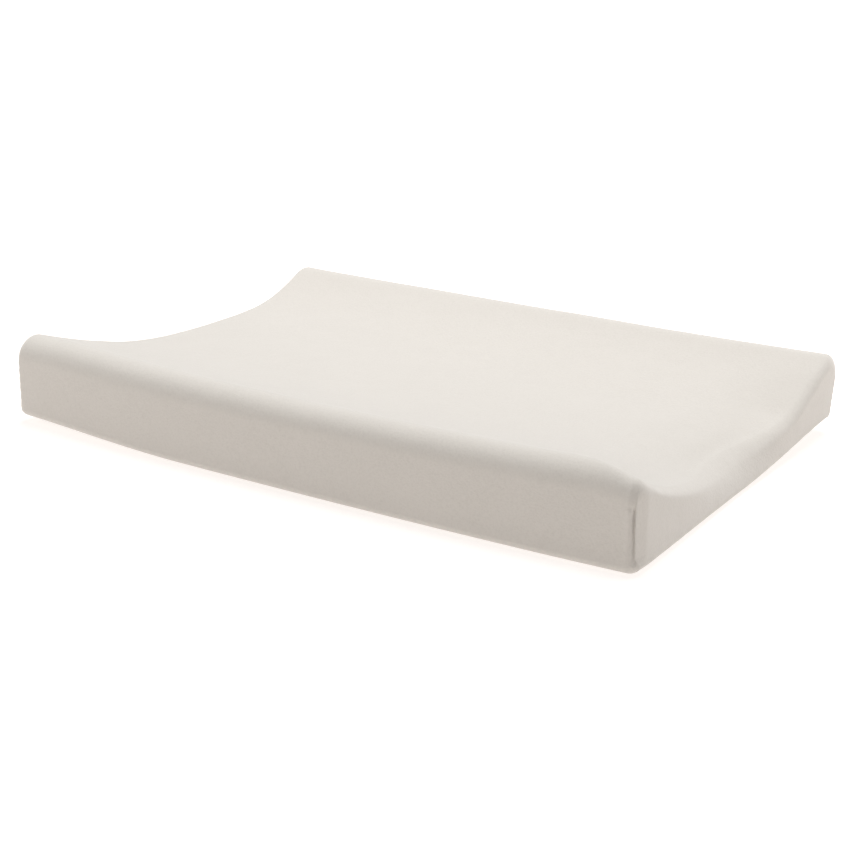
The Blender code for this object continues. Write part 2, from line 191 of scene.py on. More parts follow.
class Shell:
    """The pad's surface at one inset: a grid over the top, and rings of points down the walls."""

    def __init__(self, inset, plan_radius=PLAN_RADIUS, foot_z=FOOT_Z, levels=None, tuck_steps=TUCK_STEPS):
        x, half_width, drop, angle = stations(inset, plan_radius)
        y, z = section(inset)
        top = np.empty((len(x), len(y), 3))
        top[..., 0] = x[:, None]
        top[..., 1] = y[None, :] * (half_width / (HALF_Y - inset))[:, None]
        top[..., 2] = z[None, :] - drop[:, None]
        self.rows, self.columns = len(x), len(y)
        self.grid = np.arange(self.rows * self.columns).reshape(self.rows, self.columns)
        self.loop = self.edge_loop()
        self.outward = self.outward_of(angle)
        self.edge = top.reshape(-1, 3)[self.loop]
        self.foot_radius = FOOT_RADIUS - inset
        self.centre_z = foot_z + inset + self.foot_radius
        levels = even_shares(WALL_STEPS) if levels is None else levels
        walls = [self.wall_ring(share) for share in levels]
        walls += [self.foot_ring(share * math.pi / 2) for share in even_shares(FOOT_STEPS)]
        walls += [self.tuck_ring(share) for share in even_shares(tuck_steps)]
        self.points = np.concatenate([top.reshape(-1, 3)] + walls)
        self.rings = len(walls)

    def edge_loop(self):
        """Indices of the top grid's border, anticlockwise seen from above."""
        grid = self.grid
        return np.concatenate([grid[:, 0], grid[-1, 1:], grid[-2::-1, -1], grid[0, -2:0:-1]])

    def outward_of(self, angle):
        """Unit vectors across the border, in plan."""
        front = np.stack([np.sin(angle), -np.cos(angle)], axis=1)
        back = np.stack([np.sin(angle), np.cos(angle)], axis=1)[-2::-1]
        right = np.tile([1.0, 0.0], (self.columns - 1, 1))
        left = np.tile([-1.0, 0.0], (self.columns - 2, 1))
        return np.concatenate([front, right, back, left])

    def wall_ring(self, share):
        points = self.edge.copy()
        points[:, 2] += (self.centre_z - self.edge[:, 2]) * share
        return points

    def foot_ring(self, angle):
        points = self.edge.copy()
        points[:, 2] = self.centre_z - self.foot_radius * math.sin(angle)
        points[:, :2] -= self.outward * self.foot_radius * (1.0 - math.cos(angle))
        return points

    def tuck_ring(self, share):
        points = self.foot_ring(math.pi / 2)
        points[:, :2] -= self.outward * (FOOT_TUCK - FOOT_RADIUS) * share
        return points

    def ring(self, number):
        """Indices of one ring of the walls; ring 0 is the top's border."""
        count = len(self.loop)
        return self.loop if number == 0 else self.grid.size + (number - 1) * count + np.arange(count)

    def top_faces(self):
        grid = self.grid
        return np.stack([grid[:-1, :-1], grid[1:, :-1], grid[1:, 1:], grid[:-1, 1:]], axis=-1).reshape(-1, 4)

    def wall_faces(self, places=slice(None)):
        """Faces down the walls, for those places round the border."""
        quads = []
        for number in range(self.rings):
            upper, lower = self.ring(number), self.ring(number + 1)
            sides = [upper, lower, np.roll(lower, -1), np.roll(upper, -1)]
            quads.append(np.stack(sides, axis=-1)[places])
        return np.concatenate(quads)

    def side_places(self):
        """The places round the border that belong to each upright panel."""
        front = self.rows - 1
        right = front + self.columns - 1
        back = right + self.rows - 1
        return {
            "front": slice(0, front),
            "right_end": slice(front, right),
            "back": slice(right, back),
            "left_end": slice(back, None),
        }


def shaped(points):
    """Points of the plain shape moved to the stuffed pad's: sagging rims, bowed front, leaning right end."""
    moved = points.copy()
    x, y, z = points.T
    along = np.abs(x) / HALF_X
    across = np.abs(y) / HALF_Y
    up = z / HEIGHT
    low = np.clip(1.0 - up, 0.0, 1.0)
    bow = np.where(y < 0.0, FRONT_BOW, 0.0)
    moved[:, 1] += np.sign(y) * (bow * (1.0 - along**2) - END_NARROW * along**5) * across
    for side, (sag, power) in ((y < 0.0, FRONT_SAG), (y >= 0.0, BACK_SAG)):
        moved[:, 2] -= side * sag * up * smooth_step(0.35, 0.9, across) * (1.0 - along**power)
    share = smooth_step(END_FALL_START + END_FALL_DELAY * smooth_step(*FRONT_RIM_Y, y), HALF_X, x)
    above_foot = z / np.interp(np.abs(y), *TOP_CURVE)
    fall = END_FALL * smooth_step(*END_FALL_FRONT, y) * smooth_step(*END_FALL_BACK, y)
    moved[:, 2] -= fall * share * above_foot
    lean = END_LEAN * bell(y - END_LEAN_MIDDLE, END_LEAN_WIDTH) * smooth_step(END_LEAN_START, HALF_X, x)
    moved[:, 0] -= lean * above_foot**2
    moved[:, 2] -= TIP_FALL * bell(np.hypot(x - HALF_X, y + HALF_Y), TIP_WIDTH) * above_foot**2
    to_left = smooth_step(0.3, 1.0, -x / HALF_X)
    bridge = HOLLOW_BRIDGE * bell(y + HOLLOW_SIDE * WIDTH, HOLLOW_WIDTH)
    bridge -= HOLLOW_STEEP * bell(y - HOLLOW_SIDE * WIDTH, HOLLOW_WIDTH)
    moved[:, 2] += to_left * up * bridge
    for sign_x, sign_y, lift, pull_x, pull_y, swell, rise in CORNERS.values():
        near_end = sign_x * x / HALF_X
        near_side = sign_y * y / HALF_Y
        foot = smooth_step(0.38, 1.0, near_end) * smooth_step(0.0, 1.0, near_side)
        moved[:, 2] += lift * foot * low**2
        moved[:, 0] -= sign_x * pull_x * foot * low**1.5
        moved[:, 1] -= sign_y * pull_y * foot * low**1.5
        swollen = swell * smooth_step(0.85, 1.0, near_end) * smooth_step(0.0, 1.0, near_side) * up
        moved[:, 0] += sign_x * swollen
        moved[:, 2] += rise * smooth_step(0.8, 1.0, near_end) * smooth_step(0.7, 1.0, near_side) * up**2
    return moved


def outline(inset, radius):
    """A rounded rectangle in plan, anticlockwise from the front right corner, and its outward directions."""
    half_x = HALF_X - inset - radius
    half_y = HALF_Y - inset - radius
    centres = np.array([(half_x, -half_y), (half_x, half_y), (-half_x, half_y), (-half_x, -half_y)])
    points, outward = [], []
    for number, centre in enumerate(centres):
        angle = np.radians(90.0 * number - 90.0 + np.linspace(0.0, 90.0, CORNER_STEPS + 1))
        arc = np.stack([np.cos(angle), np.sin(angle)], axis=1)
        points.append(centre + radius * arc)
        outward.append(arc)
        travel = centres[(number + 1) % 4] - centre
        count = int((WIDTH, LENGTH)[number % 2] * OUTLINE_PER_METRE)
        shares = np.linspace(0.0, 1.0, count + 1)[1:-1, None]
        points.append(points[-1][-1] + travel * shares)
        outward.append(np.tile(arc[-1], (count - 1, 1)))
    return np.concatenate(points), np.concatenate(outward)


# ---------------- making objects

TUBE_SIDES = 5
TUBE_TIP = 0.05
THREAD_RADIUS = 0.00022
STITCH_PITCH = 0.0032
# a stitch's share of the way to the next one, and its height in thread radii
STITCH_ARCH = ((0.10, -1.0), (0.24, 1.0), (0.76, 1.0), (0.90, -1.0))


def link(made, body, slot, *nodes):
    """Put a piece under its body and hide the CAD nodes that it replaces. The slot is not used."""
    if nodes:
        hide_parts(*nodes)
    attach(made, body)


def mesh_object(name, points, faces, material):
    mesh = bpy.data.meshes.new(name)
    mesh.from_pydata(np.asarray(points).tolist(), [], np.asarray(faces).tolist())
    mesh.shade_smooth()
    mesh.materials.append(material)
    made = bpy.data.objects.new(name, mesh)
    bpy.context.scene.collection.objects.link(made)
    return made


def only_used(points, faces):
    """The points that some faces use, and those faces renumbered."""
    used, numbers = np.unique(faces, return_inverse=True)
    return points[used], numbers.reshape(faces.shape)


def thicken(made, thickness, offset=-1.0):
    solidify = made.modifiers.new("thickness", "SOLIDIFY")
    solidify.thickness = thickness
    solidify.offset = offset


def normals_of(points, faces):
    """A unit normal at each point, averaged over its faces."""
    a, b, c, d = (points[faces[:, i]] for i in range(4))
    across = np.cross(c - a, d - b)
    total = np.zeros_like(points)
    for corner in range(4):
        np.add.at(total, faces[:, corner], across)
    return total / np.maximum(np.linalg.norm(total, axis=1), 1e-12)[:, None]


def grid_quads(rows, columns, close_columns=False):
    """Quads over a grid of points numbered row by row, wrapped round where its rows are closed."""
    column = np.arange(columns if close_columns else columns - 1)
    row, column = np.meshgrid(np.arange(rows - 1), column, indexing="ij")
    after_row, after_column = row + 1, (column + 1) % columns
    corners = [row * columns + column, row * columns + after_column]
    corners += [after_row * columns + after_column, after_row * columns + column]
    return np.stack(corners, axis=-1).reshape(-1, 4)


def tube(path, radius):
    """Points and quads of a thin round tube along a path. Its ends taper shut."""
    count = len(path)
    tangent = np.gradient(path, axis=0)
    tangent /= np.linalg.norm(tangent, axis=1)[:, None]
    guide = np.where(np.abs(tangent[:, 2:3]) < 0.9, [[0.0, 0.0, 1.0]], [[1.0, 0.0, 0.0]])
    first = np.cross(tangent, guide)
    first /= np.linalg.norm(first, axis=1)[:, None]
    second = np.cross(tangent, first)
    angle = np.arange(TUBE_SIDES) * 2 * math.pi / TUBE_SIDES
    size = np.full(count, radius)
    size[[0, -1]] = radius * TUBE_TIP
    circle = np.cos(angle)[None, :, None] * first[:, None] + np.sin(angle)[None, :, None] * second[:, None]
    points = path[:, None] + circle * size[:, None, None]
    return points.reshape(-1, 3), grid_quads(count, TUBE_SIDES, close_columns=True)


def gathered(parts):
    """Several (points, faces) as one."""
    points, faces, shift = [], [], 0
    for some_points, some_faces in parts:
        points.append(some_points)
        faces.append(some_faces + shift)
        shift += len(some_points)
    return np.concatenate(points), np.concatenate(faces)


def swept(rows, closed=True):
    """Points and quads of a surface through rows of points. Each row is a loop, unless it is open."""
    return np.concatenate(rows), grid_quads(len(rows), len(rows[0]), closed)


def along_of(path):
    """The distance along a path at each of its points."""
    return np.concatenate([[0.0], np.cumsum(np.linalg.norm(np.diff(path[:, :3], axis=0), axis=1))])


def spaced(loop, step):
    """Rows of a closed path at equal steps, with whatever else each row holds."""
    line = np.concatenate([loop, loop[:1]])
    along = along_of(line)
    count = max(2, int(round(along[-1] / step)))
    places = np.linspace(0.0, along[-1], count + 1)[:count]
    return np.stack([np.interp(places, along, line[:, column]) for column in range(line.shape[1])], axis=1)


def stitches(loop, rises, pitch=STITCH_PITCH):
    """A row of stitches: short arched tubes round a loop. Each stands up along the rise there."""
    marks = spaced(np.hstack([loop, np.broadcast_to(rises, loop.shape)]), pitch)
    parts = []
    for start, end in zip(marks, np.roll(marks, -1, axis=0)):
        step = (end - start)[:3]
        lift = start[3:] * THREAD_RADIUS
        arch = [start[:3] + step * share + lift * height for share, height in STITCH_ARCH]
        parts.append(tube(np.array(arch), THREAD_RADIUS))
    return gathered(parts)


# ---------------- materials

# the wave texture's scale that puts its ridges a metre apart
WAVE_UNIT = 0.314159


class Paint:
    """A Principled material and short ways to wire procedural nodes into it."""

    def __init__(self, name, roughness, **sockets):
        self.material = bpy.data.materials.new(name)
        self.material.use_nodes = True
        self.tree = self.material.node_tree
        self.shader = self.tree.nodes["Principled BSDF"]
        self.place = self.tree.nodes.new("ShaderNodeTexCoord").outputs["Object"]
        self.set(Roughness=roughness, **sockets)

    def set(self, **sockets):
        for name, value in sockets.items():
            self.shader.inputs[name.replace("_", " ")].default_value = value

    def wire(self, output, socket):
        self.tree.links.new(output, self.shader.inputs[socket])

    def texture(self, kind, output, place=None, **sockets):
        node = self.tree.nodes.new(kind)
        for name, value in sockets.items():
            node.inputs[name].default_value = value
        self.tree.links.new(place or self.place, node.inputs["Vector"])
        return node.outputs[output]

    def noise(self, size, detail=2.0, roughness=0.5, place=None):
        """Noise with features of about that size in metres."""
        sockets = {"Scale": 1.0 / size, "Detail": detail, "Roughness": roughness}
        return self.texture("ShaderNodeTexNoise", "Fac", place, **sockets)

    def cells(self, size):
        """Distance to the nearest of many scattered points that size apart."""
        return self.texture("ShaderNodeTexVoronoi", "Distance", Scale=1.0 / size)

    def stretched(self, scale):
        """The object's coordinates times a scale along each axis."""
        node = self.tree.nodes.new("ShaderNodeMapping")
        node.inputs["Scale"].default_value = scale
        self.tree.links.new(self.place, node.inputs["Vector"])
        return node.outputs["Vector"]

    def waves(self, size, direction, distortion=0.0):
        """Even ridges that size apart along one axis."""
        value = self.texture("ShaderNodeTexWave", "Fac", Scale=WAVE_UNIT / size, Distortion=distortion)
        value.node.bands_direction = direction
        return value

    def mix(self, first, second, share):
        """first times share, plus second."""
        node = self.tree.nodes.new("ShaderNodeMath")
        node.operation = "MULTIPLY_ADD"
        self.tree.links.new(first, node.inputs[0])
        node.inputs[1].default_value = share
        self.tree.links.new(second, node.inputs[2])
        return node.outputs[0]

    def product(self, first, second):
        node = self.tree.nodes.new("ShaderNodeMath")
        node.operation = "MULTIPLY"
        self.tree.links.new(first, node.inputs[0])
        self.tree.links.new(second, node.inputs[1])
        return node.outputs[0]

    def colours(self, value, *stops):
        """A colour from a value. Each stop is (place, red, green, blue)."""
        node = self.tree.nodes.new("ShaderNodeValToRGB")
        elements = node.color_ramp.elements
        while len(elements) < len(stops):
            elements.new(0.5)
        for element, (place, *colour) in zip(elements, stops):
            element.position = place
            element.color = (*colour, 1.0)
        self.tree.links.new(value, node.inputs["Fac"])
        self.wire(node.outputs["Color"], "Base Color")

    def range(self, value, low, high):
        """A value from 0 to 1, spread from low to high."""
        node = self.tree.nodes.new("ShaderNodeMapRange")
        node.inputs["To Min"].default_value = low
        node.inputs["To Max"].default_value = high
        self.tree.links.new(value, node.inputs["Value"])
        return node.outputs["Result"]

    def rough(self, value, low, high):
        self.wire(self.range(value, low, high), "Roughness")

    def bumps(self, *layers):
        """Bump layers, each (value, height in metres, strength), from the broadest to the finest."""
        normal = None
        for value, height, strength in layers:
            node = self.tree.nodes.new("ShaderNodeBump")
            node.inputs["Distance"].default_value = height
            node.inputs["Strength"].default_value = strength
            self.tree.links.new(value, node.inputs["Height"])
            if normal:
                self.tree.links.new(normal, node.inputs["Normal"])
            normal = node.outputs["Normal"]
        self.wire(normal, "Normal")


def terry(name="terry", shade=1.0):
    """Short looped cotton pile: grains of a loop's size, darker where the loops sit low as painted shade,
    and patches where the pile lies another way.
    """
    paint = Paint(name, 0.95, Sheen_Weight=0.45, Sheen_Roughness=0.45, Sheen_Tint=(1.0, 0.995, 0.985, 1.0))
    loops_and_valley_shade = paint.mix(paint.cells(0.0019), paint.noise(0.0026, 3.0, 0.6), 0.45)
    patches = paint.noise(0.045, 3.0, 0.55)
    tones = ((0.40, 0.568, 0.534, 0.490), (0.85, 0.602, 0.568, 0.524), (1.0, 0.615, 0.581, 0.536))
    stops = [(place, *(shade * part for part in tone)) for place, *tone in tones]
    # painted shade: the colour darkens where the loops sit low, as shade in the pile's valleys would
    paint.colours(paint.mix(patches, loops_and_valley_shade, 0.35), *stops)
    paint.bumps((paint.noise(0.012, 2.0), 0.0008, 0.3), (loops_and_valley_shade, 0.0006, 0.4))
    return paint.material


def cover_thread():
    paint = Paint("cover_thread", 0.75, Sheen_Weight=0.2)
    strands = paint.waves(0.0006, "DIAGONAL", 2.0)
    paint.colours(strands, (0.0, 0.60, 0.545, 0.48), (1.0, 0.74, 0.69, 0.62))
    paint.bumps((strands, 0.0001, 0.6))
    return paint.material


def braided_elastic():
    paint = Paint("elastic", 0.8)
    ribs = paint.product(paint.waves(0.0011, "X", 0.3), paint.waves(0.0011, "Y", 0.3))
    paint.colours(ribs, (0.0, 0.66, 0.65, 0.62), (1.0, 0.84, 0.83, 0.80))
    paint.bumps((ribs, 0.0003, 0.8))
    return paint.material


def satin_label():
    paint = Paint("label", 0.42, Sheen_Weight=0.25)
    weave = paint.product(paint.waves(0.0005, "X"), paint.waves(0.0005, "Y"))
    paint.colours(weave, (0.0, 0.84, 0.84, 0.82), (1.0, 0.93, 0.93, 0.915))
    paint.bumps((weave, 0.00006, 0.5))
    return paint.material


def open_foam():
    paint = Paint("foam", 0.95)
    pores = paint.cells(0.0012)
    tone = paint.noise(0.05, 2.0)
    paint.colours(paint.mix(pores, tone, 0.8), (0.35, 0.70, 0.66, 0.52), (0.85, 0.90, 0.875, 0.76))
    paint.bumps((tone, 0.001, 0.2), (pores, 0.0006, 0.9))
    return paint.material


def coated_cloth():
    """The liner's wipe-clean knit: a smooth coating that lets the fine knit show through."""
    paint = Paint("coated_cloth", 0.42, Specular_IOR_Level=0.45)
    knit = paint.product(paint.waves(0.0009, "X", 0.4), paint.waves(0.0009, "Y", 0.4))
    creases = paint.noise(0.030, 4.0, 0.6)
    paint.colours(paint.mix(knit, creases, 0.25), (0.35, 0.86, 0.862, 0.858), (0.80, 0.925, 0.925, 0.918))
    paint.rough(creases, 0.34, 0.52)
    paint.bumps((creases, 0.0012, 0.35), (knit, 0.00008, 0.5))
    return paint.material


def liner_thread():
    paint = Paint("liner_thread", 0.6)
    strands = paint.waves(0.0005, "DIAGONAL", 1.5)
    paint.colours(strands, (0.0, 0.74, 0.74, 0.73), (1.0, 0.87, 0.87, 0.86))
    paint.bumps((strands, 0.0001, 0.5))
    return paint.material


def zip_tape():
    paint = Paint("zip_tape", 0.8)
    weave = paint.product(paint.waves(0.0007, "DIAGONAL", 0.2), paint.waves(0.0007, "Z", 0.2))
    paint.colours(weave, (0.0, 0.76, 0.76, 0.75), (1.0, 0.90, 0.90, 0.89))
    paint.bumps((weave, 0.00012, 0.8))
    return paint.material


def nylon_coil():
    paint = Paint("zip_coil", 0.35, Specular_IOR_Level=0.5)
    tone = paint.noise(0.004, 2.0)
    paint.colours(tone, (0.3, 0.82, 0.82, 0.81), (0.8, 0.91, 0.91, 0.90))
    paint.rough(tone, 0.28, 0.42)
    return paint.material


def satin_metal():
    paint = Paint("zip_metal", 0.35, Metallic=1.0)
    brushed = paint.noise(0.0012, 3.0, 0.6, paint.stretched((0.15, 1.0, 1.0)))
    paint.colours(brushed, (0.3, 0.62, 0.62, 0.63), (0.8, 0.76, 0.76, 0.77))
    paint.rough(brushed, 0.26, 0.45)
    paint.bumps((brushed, 0.00004, 0.4))
    return paint.material


# ---------------- the cover

WAVE_HEIGHT = 0.0009

SEAM_DEPTH = 0.0019
SEAM_WIDTH = 0.0013
# how far the seams lie forward of the corners' middle, less in their lower half, and their swing at the foot
SEAM_FORWARD = 0.0012
SEAM_RIGHTING = 0.0008
SEAM_SWING = 0.0058
# the heights that the front right seam gapes between, and the lip that stands proud beside it
GAPE_TOP = 0.060
GAPE_FOOT = 0.008
LIP_RISE = 0.0010
LIP_PLACE = 0.0048
LIP_WIDTH = 0.0022
# how wide its two flanks are against the others', and how far the cloth beyond it runs straight
LAPPED_FLANKS = (2.0, 0.4)
STRAIGHT_REACH = 0.0084
PUCKER_HEIGHT = 0.00030
PUCKER_PITCH = 0.0095
PUCKER_REACH = 0.009
PUCKER_GAP = 0.0018
# the heights at which a seam fades out under the rim
SEAM_FADE = (0.078, 0.062)


def straight_end(sine, over_y, middle):
    """How far inside the round corner a straight line runs, from the seam at `middle` to the end's face."""
    seam_x = PLAN_RADIUS * np.sin(middle / PLAN_RADIUS)
    seam_y = PLAN_RADIUS * np.cos(middle / PLAN_RADIUS)
    round_y = PLAN_RADIUS * np.sqrt(np.clip(1.0 - sine**2, 0.0, 1.0)) + np.minimum(over_y, 0.0)
    share = np.clip((round_y + STRAIGHT_REACH) / (seam_y + STRAIGHT_REACH), 0.0, 1.0)
    return PLAN_RADIUS * (sine - 1.0) + (PLAN_RADIUS - seam_x) * share


def seam_shift(points):
    """How far the sewn corner seams draw the cover in, as vectors. The front right one is lapped."""
    shift = np.zeros_like(points)
    z = points[:, 2]
    for name, (sign_x, sign_y, *_) in CORNERS.items():
        lapped = name == "front_right"
        over_x = sign_x * points[:, 0] - (HALF_X - PLAN_RADIUS)
        over_y = sign_y * points[:, 1] - (HALF_Y - PLAN_RADIUS)
        beyond_x = np.maximum(over_x, 0.0)
        beyond_y = np.maximum(over_y, 0.0)
        reach = np.maximum(np.hypot(beyond_x, beyond_y), 1e-9)
        around = PLAN_RADIUS * np.arctan2(beyond_x, np.maximum(over_y, 1e-9))
        around += np.minimum(over_x, 0.0) - np.minimum(over_y, 0.0)
        middle = PLAN_RADIUS * math.pi / 4 - SEAM_FORWARD + SEAM_RIGHTING * smooth_step(0.050, 0.020, z)
        middle += SEAM_SWING * smooth_step(0.017, 0.003, z)
        off = around - middle
        gape = smooth_step(GAPE_TOP + 0.003, GAPE_TOP - 0.004, z) * smooth_step(0.0, GAPE_FOOT + 0.006, z)
        gape *= (0.3 + 0.7 * z / GAPE_TOP) * (1.0 if lapped else 0.35)
        left, right = LAPPED_FLANKS
        width = np.where(off < 0.0, left * SEAM_WIDTH, right * SEAM_WIDTH) if lapped else SEAM_WIDTH
        depth = SEAM_DEPTH * bell(off, width) * (0.7 + 1.1 * gape)
        depth -= gape * LIP_RISE * bell(off + LIP_PLACE, LIP_WIDTH)
        puckers = np.sin(z * 2 * math.pi / PUCKER_PITCH + 2.0 * sign_x * sign_y)
        puckers = puckers * bell(off, PUCKER_REACH) * (1.0 - bell(off, PUCKER_GAP))
        depth += PUCKER_HEIGHT * puckers
        depth *= 1.0 - 0.4 * smooth_step(0.024, 0.010, z)
        at_corner = smooth_step(0.35 * PLAN_RADIUS, 0.9 * PLAN_RADIUS, reach) * smooth_step(*SEAM_FADE, z)
        shift[:, 0] -= sign_x * beyond_x / reach * depth * at_corner
        shift[:, 1] -= sign_y * beyond_y / reach * depth * at_corner
        if lapped:
            inside = straight_end(beyond_x / reach, over_y, middle) * smooth_step(-0.0002, 0.0004, off)
            shift[:, 0] -= inside * at_corner
    return shift


def soft_waves(points):
    """Broad, shallow unevenness of padding under cloth: how far each point stands out, never in."""
    broad = slow_noise(points * (1.0, 1.6, 1.6), 0.060, 3.0)
    fine = slow_noise(points, 0.018, 8.0)
    near_rim = smooth_step(0.5, 0.95, np.abs(points[:, 1]) / HALF_Y)
    return WAVE_HEIGHT * (0.5 + 0.5 * near_rim) * (0.5 + 0.5 * broad) + 0.00015 * (1.0 + fine)


def make_cover():
    """The terry cover: two layers of points, joined at the foot, as one closed sheet."""
    outside = Shell(0.0)
    inside = Shell(COVER_THICK)
    outer_faces = np.concatenate([outside.top_faces(), outside.wall_faces()])
    outer = shaped(outside.points)
    waves = normals_of(outer, outer_faces) * soft_waves(outer)[:, None]
    waves[:, 2] *= smooth_step(0.0, 0.02, outer[:, 2])
    outer = outer + waves + seam_shift(outside.points)
    inner = shaped(inside.points) + waves + seam_shift(inside.points)
    shift = len(outer)
    outer_foot, inner_foot = outside.ring(outside.rings), inside.ring(inside.rings) + shift
    hem = np.stack([outer_foot, inner_foot, np.roll(inner_foot, -1), np.roll(outer_foot, -1)], axis=-1)
    faces = np.concatenate([outer_faces, outer_faces[:, ::-1] + shift, hem])
    cover = mesh_object("terry_cover_cloth", np.concatenate([outer, inner]), faces, terry())
    link(cover, "cover", "terry", "terry_cover")


ALLOWANCE_REACH = 0.0033
ALLOWANCE_Z = (0.010, 0.056)
# half its width, and half its thickness over the thread and under it
ALLOWANCE_HALVES = (0.0015, 0.0006, 0.00036)
ALLOWANCE_TURNS = 23
SKIRT_THICK = 0.0012
SKIRT_CORNER_RADIUS = 0.060
SKIRT_MIDDLE = 0.0400
CASING_INSET = 0.0500
GATHER = 0.0075
GATHER_HEIGHT = 0.00042
GATHER_SHIFT = 0.0006
ELASTIC_INSET = 0.0440
ELASTIC_Z = 0.0034
ELASTIC_THICK = 0.0009
ELASTIC_HALF_WIDTH = 0.0050
HEM_ROW_INSETS = (0.0358, 0.0372)
HEM_ROW_Z = 0.00065
LABEL_TUCK = 0.004
LABEL_THICK = 0.0004
# inset and height of the skirt's cloth, from the foot of the cover to the hem folded back over the elastic
SKIRT_PROFILE = (
    (0.0152, 0.0020), (0.0200, 0.0016), (0.0260, 0.0014), (0.0320, 0.0013),
    (0.0360, 0.0013), (0.0395, 0.0012), (0.0430, 0.0012), (0.0465, 0.0014),
    (0.0490, 0.0021), (0.0500, 0.0033), (0.0490, 0.0046), (0.0465, 0.0053),
    (0.0430, 0.0056), (0.0395, 0.0053), (0.0370, 0.0044), (0.0350, 0.0038),
)
# the rows after this one lie over the elastic, folded back
SKIRT_FOLD = 8


def corner_radius_at(inset):
    """The plan radius of the skirt's corners, from the cover's at its foot to wide curves at the elastic."""
    return PLAN_RADIUS + (SKIRT_CORNER_RADIUS - PLAN_RADIUS) * float(smooth_step(0.010, CASING_INSET, inset))


def make_skirt():
    """The margin that turns under the pad, gathered by its elastic."""
    rows = []
    middle, _ = outline(SKIRT_MIDDLE, corner_radius_at(SKIRT_MIDDLE))
    phase = 2 * math.pi * along_of(middle) / GATHER
    wander = slow_noise(np.column_stack([middle, np.zeros(len(middle))]), 0.05, 5.0)
    wave = np.sin(phase + 2.2 * wander)
    for number, (inset, z) in enumerate(SKIRT_PROFILE):
        plan, outward = outline(inset, corner_radius_at(inset))
        share = smooth_step(0.018, SKIRT_MIDDLE, inset)
        rise = share * GATHER_HEIGHT * wave * (-1.0 if number > SKIRT_FOLD else 1.0)
        plan = plan - outward * (share * GATHER_SHIFT * np.cos(phase * 0.5 + wander))[:, None]
        rows.append(np.column_stack([plan, z + rise]))
    points, faces = swept(rows)
    material = terry("terry_skirt", 0.97)
    skirt = mesh_object("turned_under_skirt_cloth", shaped(points), faces[:, ::-1], material)
    thicken(skirt, SKIRT_THICK, 0.0)
    link(skirt, "cover", "terry_skirt", "turned_under_skirt")


def make_elastic():
    """The braided band inside the hem's casing, drawn into small waves by its own pull."""
    rows = []
    middle, _ = outline(ELASTIC_INSET, corner_radius_at(ELASTIC_INSET))
    wave = 0.0002 * np.sin(2 * math.pi * along_of(middle) / GATHER)
    for share in np.linspace(-1.0, 1.0, 7):
        plan, _ = outline(ELASTIC_INSET + ELASTIC_HALF_WIDTH * share, corner_radius_at(ELASTIC_INSET))
        rows.append(np.column_stack([plan, ELASTIC_Z + wave + 0.0001 * np.cos(share * 9.0)]))
    points, faces = swept(rows)
    elastic = mesh_object("hem_elastic_band", shaped(points), faces[:, ::-1], braided_elastic())
    thicken(elastic, ELASTIC_THICK, 0.0)
    link(elastic, "cover", "elastic", "hem_elastic")


def make_hem_stitches():
    """Two rows of stitches that close the casing, seen on the skirt's underside."""
    parts = []
    for inset in HEM_ROW_INSETS:
        plan, _ = outline(inset, corner_radius_at(inset))
        path = shaped(np.column_stack([plan, np.full(len(plan), HEM_ROW_Z)]))
        parts.append(stitches(path, (0.0, 0.0, -1.0)))
    made = mesh_object("hem_stitches", *gathered(parts), cover_thread())
    link(made, "cover", "cover_thread", "hem_stitching")


def make_corner_allowances():
    """The overlocked seam allowance inside each corner: a strip of cloth wrapped in thread."""
    material = cover_thread()
    half_width, half_thick, core_thick = ALLOWANCE_HALVES
    low_z, high_z = ALLOWANCE_Z
    sides = ((-1, -1), (1, -1), (1, 1), (-1, 1))
    for name, (sign_x, sign_y, *_) in CORNERS.items():
        inward = np.array([-sign_x, -sign_y, 0.0]) / math.sqrt(2.0)
        sideways = np.array([-inward[1], inward[0], 0.0])
        middle = np.array([sign_x * (HALF_X - PLAN_RADIUS), sign_y * (HALF_Y - PLAN_RADIUS), 0.0])
        middle = middle - inward * ALLOWANCE_REACH
        strip = []
        for share in np.linspace(0.0, 1.0, 60):
            centre = middle + (0.0, 0.0, low_z + (high_z - low_z) * share)
            strip.append([centre + inward * x * half_width + sideways * y * core_thick for x, y in sides])
        angle = np.linspace(0.0, 2 * math.pi * ALLOWANCE_TURNS, ALLOWANCE_TURNS * 10)
        thread = middle + inward * np.cos(angle)[:, None] * half_width
        thread = thread + sideways * np.sin(angle)[:, None] * half_thick
        thread[:, 2] += np.linspace(low_z, high_z, len(angle))
        points, faces = gathered([swept(strip), tube(thread, THREAD_RADIUS)])
        made = mesh_object(f"corner_allowance_{name}", shaped(points), faces, material)
        link(made, "cover", "cover_thread", f"corner_seam_{name}")


def make_label():
    """The blank care label: a ribbon with a slight curl, lying on the skirt."""
    low, high = node_box("care_label")
    rows = []
    for share in np.linspace(0.0, 1.0, 26):
        y = low[1] + LABEL_TUCK + (high[1] - low[1] - LABEL_TUCK) * share
        x = np.linspace(low[0], high[0], 20)
        curl = 0.0010 * share**2 * (0.4 + 0.6 * np.sin(math.pi * np.linspace(0.0, 1.0, 20)))
        rows.append(np.column_stack([x, np.full(20, y), low[2] + 0.0004 + curl]))
    points, faces = swept(rows, closed=False)
    label = mesh_object("care_label_ribbon", points, faces[:, ::-1], satin_label())
    thicken(label, LABEL_THICK, 0.0)
    link(label, "cover", "label", "care_label")


# ---------------- the liner and its foam

LINER_PLAN_RADIUS = 0.024
LINER_THICK = 0.0006
SEAM_PINCH = 0.0011
SEAM_STITCH_PITCH = 0.0034
PUCKER_DEPTH = 0.00035
LINER_PUCKER_PITCH = 0.011
SLOT_HALF_LENGTH = 0.236
SLOT_HALF_HEIGHT = 0.0055
